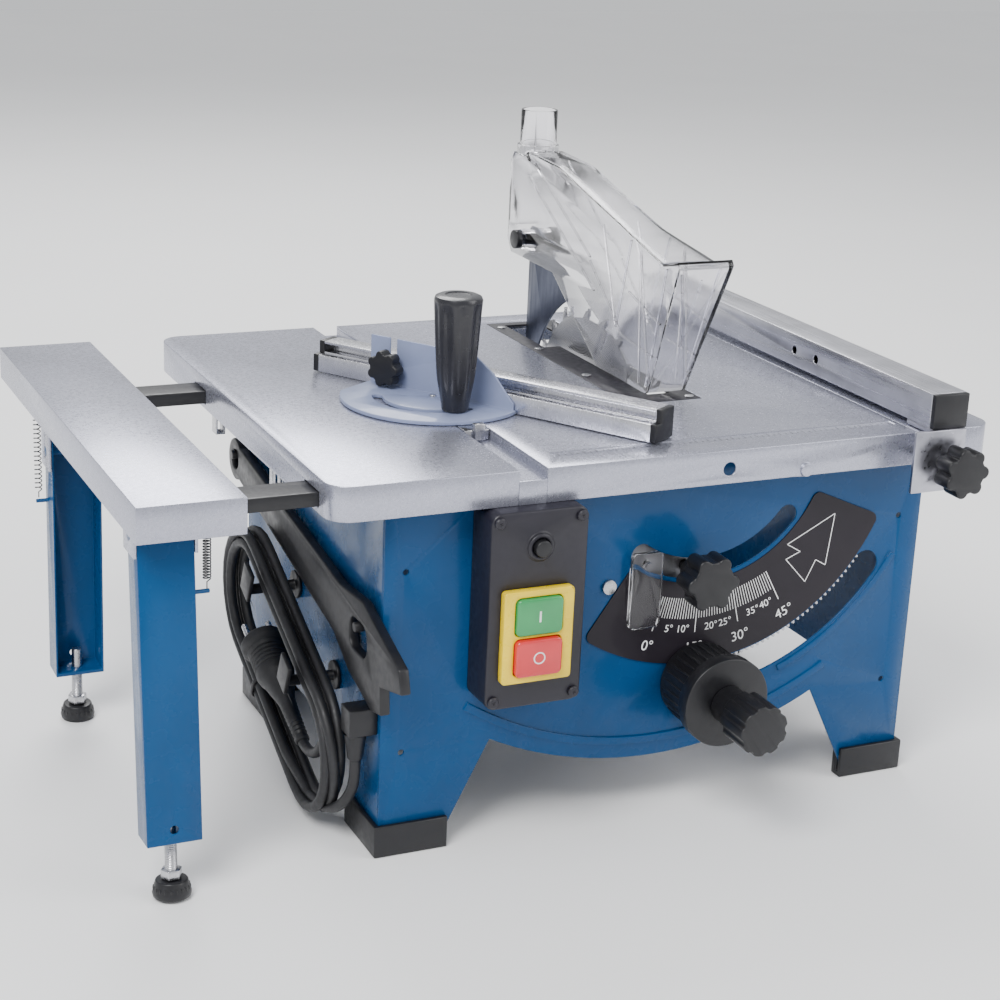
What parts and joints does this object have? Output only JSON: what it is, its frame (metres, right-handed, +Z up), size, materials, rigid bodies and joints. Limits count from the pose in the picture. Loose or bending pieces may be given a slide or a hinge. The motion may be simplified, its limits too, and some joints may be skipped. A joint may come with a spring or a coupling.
{
  "type": "table saw",
  "caption": "Benchtop table saw on a sheet-metal body with a clear blade guard, rip fence, mitre gauge and a side extension on folding legs.",
  "frame": {"origin": "centre of the whole saw's footprint, on the floor", "axes": "+X to the right along the front, +Y to the back, +Z up"},
  "size_m": [0.66, 0.507, 0.472],
  "materials": {
    "blue_paint": "gloss powder coat",
    "galvanised": "fine speckled zinc",
    "black_plastic": "matte",
    "dark_plastic": "fine texture",
    "yellow_plastic": "gloss",
    "green_plastic": "gloss",
    "red_plastic": "gloss",
    "zinc_steel": "bright zinc",
    "scale_paint": "satin with white marks",
    "knife_steel": "blued",
    "blade_steel": "ground",
    "clear_plastic": "clear",
    "aluminium": "extruded",
    "mitre_paint": "satin",
    "cast_metal": "die cast",
    "motor_case": "satin",
    "cord_rubber": "matte"
  },
  "bodies": {
    "stand": {"front_panel": "blue_paint", "side_panels": "blue_paint", "rear_panel": "blue_paint", "foot_caps": "black_plastic", "table_main": "galvanised", "table_left": "galvanised", "table_right": "galvanised", "mitre_channel": "galvanised", "table_insert": "black_plastic", "rail_guides": "black_plastic", "switch_box": "dark_plastic", "switch_bezel": "yellow_plastic", "root_screws": "zinc_steel", "scale_plate": "scale_paint", "tilt_rack": "zinc_steel", "table_hooks": "zinc_steel", "cord_gland": "black_plastic", "cord_tube": "cord_rubber", "cord_hank": "cord_rubber", "plug": "cord_rubber", "side_hooks": "black_plastic", "push_stick": "black_plastic"},
    "tilt_unit": {"tilt_frame": "cast_metal", "guide_rods": "zinc_steel", "pointer": "clear_plastic"},
    "tilt_lock": {"lock_knob": "black_plastic"},
    "tilt_handwheel": {"tilt_wheel": "black_plastic"},
    "lift_handle": {"lift_knob": "black_plastic"},
    "lift_screw": {"lead_screw": "zinc_steel"},
    "carriage": {"lift_carriage": "cast_metal", "motor": "motor_case", "riving_knife": "knife_steel"},
    "blade": {"saw_blade": "blade_steel", "arbor": "zinc_steel"},
    "motor_rotor": {"motor_shaft": "zinc_steel"},
    "guard_pivot": {"guard_bolt": "black_plastic"},
    "guard_cover": {"guard": "clear_plastic"},
    "fence": {"fence_rail": "aluminium", "fence_cap": "black_plastic", "fence_clamp": "zinc_steel"},
    "fence_screw": {"fence_knob": "black_plastic"},
    "mitre_slider": {"mitre_bar": "zinc_steel"},
    "mitre_protractor": {"mitre_head": "mitre_paint"},
    "mitre_clamp": {"mitre_handle": "black_plastic"},
    "mitre_profile": {"mitre_fence": "aluminium", "mitre_caps": "black_plastic"},
    "mitre_screw": {"mitre_knob": "black_plastic"},
    "extension": {"ext_table": "galvanised", "ext_rails": "black_plastic", "spring_front": "zinc_steel", "spring_rear": "zinc_steel"},
    "leg_front": {"ext_leg_front": "blue_paint"},
    "leg_rear": {"ext_leg_rear": "blue_paint"},
    "level_front": {"foot_front": "black_plastic"},
    "level_rear": {"foot_rear": "black_plastic"},
    "green_button": {"start_button": "green_plastic"},
    "red_button": {"stop_button": "red_plastic"},
    "small_button": {"reset_button": "black_plastic"}
  },
  "joints": [
    {"name": "blade_tilt", "type": "hinge", "parent": "stand", "child": "tilt_unit", "pos_m": [0.095, -0.0015, 0.28], "axis": [0, -1, 0], "range_deg": [0, 45]},
    {"name": "tilt_lock", "type": "hinge", "parent": "tilt_unit", "child": "tilt_lock", "pos_m": [0.08466, -0.1515, 0.1906], "axis": [0, -1, 0], "range_deg": [0, 270]},
    {"name": "tilt_wheel_turn", "type": "hinge", "parent": "tilt_unit", "child": "tilt_handwheel", "pos_m": [0.095, -0.1615, 0.103], "axis": [0, -1, 0], "range_deg": [0, 845]},
    {"name": "blade_lift", "type": "slide", "parent": "tilt_unit", "child": "carriage", "axis": [0, 0, 1], "range_m": [-0.045, 0]},
    {"name": "lift_knob_turn", "type": "hinge", "parent": "tilt_unit", "child": "lift_handle", "pos_m": [0.095, -0.1615, 0.103], "axis": [0, -1, 0], "range_deg": [-3245, 0]},
    {"name": "lift_screw_turn", "type": "hinge", "parent": "tilt_unit", "child": "lift_screw", "pos_m": [0.095, -0.0515, 0.103], "axis": [0, 0, 1], "range_deg": [-3245, 0]},
    {"name": "blade_spin", "type": "hinge", "parent": "carriage", "child": "blade", "pos_m": [0.119, 0.0885, 0.225], "axis": [1, 0, 0], "continuous": true},
    {"name": "motor_spin", "type": "hinge", "parent": "carriage", "child": "motor_rotor", "pos_m": [0.065, 0.0495, 0.225], "axis": [1, 0, 0], "continuous": true},
    {"name": "guard_follow", "type": "hinge", "parent": "carriage", "child": "guard_pivot", "pos_m": [0.119, 0.2025, 0.363], "axis": [-1, 0, 0], "range_deg": [-1, 16]},
    {"name": "guard_open", "type": "hinge", "parent": "guard_pivot", "child": "guard_cover", "pos_m": [0.119, 0.2025, 0.363], "axis": [-1, 0, 0], "range_deg": [0, 45]},
    {"name": "fence_slide", "type": "slide", "parent": "stand", "child": "fence", "axis": [1, 0, 0], "range_m": [-0.115, 0.03]},
    {"name": "fence_clamp_turn", "type": "hinge", "parent": "fence", "child": "fence_screw", "pos_m": [0.277, -0.2015, 0.263], "axis": [0, -1, 0], "range_deg": [0, 300]},
    {"name": "mitre_slide", "type": "slide", "parent": "stand", "child": "mitre_slider", "axis": [0, -1, 0], "range_m": [-0.16, 0.1]},
    {"name": "mitre_angle", "type": "hinge", "parent": "mitre_slider", "child": "mitre_protractor", "pos_m": [-0.0545, 0.0085, 0.288], "axis": [0, 0, 1], "range_deg": [-10, 25]},
    {"name": "mitre_clamp_turn", "type": "hinge", "parent": "mitre_slider", "child": "mitre_clamp", "pos_m": [-0.0545, -0.0335, 0.33], "axis": [0, 0, 1], "range_deg": [0, 300]},
    {"name": "mitre_fence_slide", "type": "slide", "parent": "mitre_protractor", "child": "mitre_profile", "axis": [0.5446, -0.8387, 0], "range_m": [-0.06, 0.02]},
    {"name": "mitre_screw_turn", "type": "hinge", "parent": "mitre_protractor", "child": "mitre_screw", "pos_m": [-0.07264, 0.04561, 0.3035], "axis": [-0.8387, -0.5446, 0], "range_deg": [0, 300]},
    {"name": "ext_slide", "type": "slide", "parent": "stand", "child": "extension", "axis": [-1, 0, 0], "range_m": [-0.055, 0.1]},
    {"name": "leg_fold_front", "type": "hinge", "parent": "extension", "child": "leg_front", "pos_m": [-0.305, -0.1375, 0.256], "axis": [1, 0, 0], "range_deg": [0, 94.3], "deforming": ["spring_front"]},
    {"name": "leg_fold_rear", "type": "hinge", "parent": "extension", "child": "leg_rear", "pos_m": [-0.297, 0.1435, 0.228], "axis": [-1, 0, 0], "range_deg": [0, 91.7], "deforming": ["spring_rear"]},
    {"name": "level_front_turn", "type": "hinge", "parent": "leg_front", "child": "level_front", "pos_m": [-0.305, -0.1375, 0.256], "axis": [0, 0.075, 0.9972], "range_deg": [-180, 180]},
    {"name": "level_rear_turn", "type": "hinge", "parent": "leg_rear", "child": "level_rear", "pos_m": [-0.297, 0.1435, 0.228], "axis": [0, -0.0297, 0.9996], "range_deg": [-180, 180]},
    {"name": "start_press", "type": "slide", "parent": "stand", "child": "green_button", "axis": [0, 1, 0], "range_m": [0, 0.004], "stiffness_N_per_m": 300, "springref_m": -0.002},
    {"name": "stop_press", "type": "slide", "parent": "stand", "child": "red_button", "axis": [0, 1, 0], "range_m": [0, 0.004], "stiffness_N_per_m": 300, "springref_m": -0.002},
    {"name": "reset_press", "type": "slide", "parent": "stand", "child": "small_button", "axis": [0, 1, 0], "range_m": [0, 0.003], "stiffness_N_per_m": 300, "springref_m": -0.002}
  ],
  "couplings": [
    {"joint": "tilt_wheel_turn", "follows": "blade_tilt", "ratio": 18.667},
    {"joint": "lift_knob_turn", "follows": "blade_lift", "rad_per_m": 1256.6},
    {"joint": "lift_screw_turn", "follows": "blade_lift", "rad_per_m": 1256.6},
    {"joint": "guard_follow", "follows": "blade_lift", "rad_per_m": -6},
    {"joint": "motor_spin", "follows": "blade_spin", "ratio": -3.3333}
  ]
}
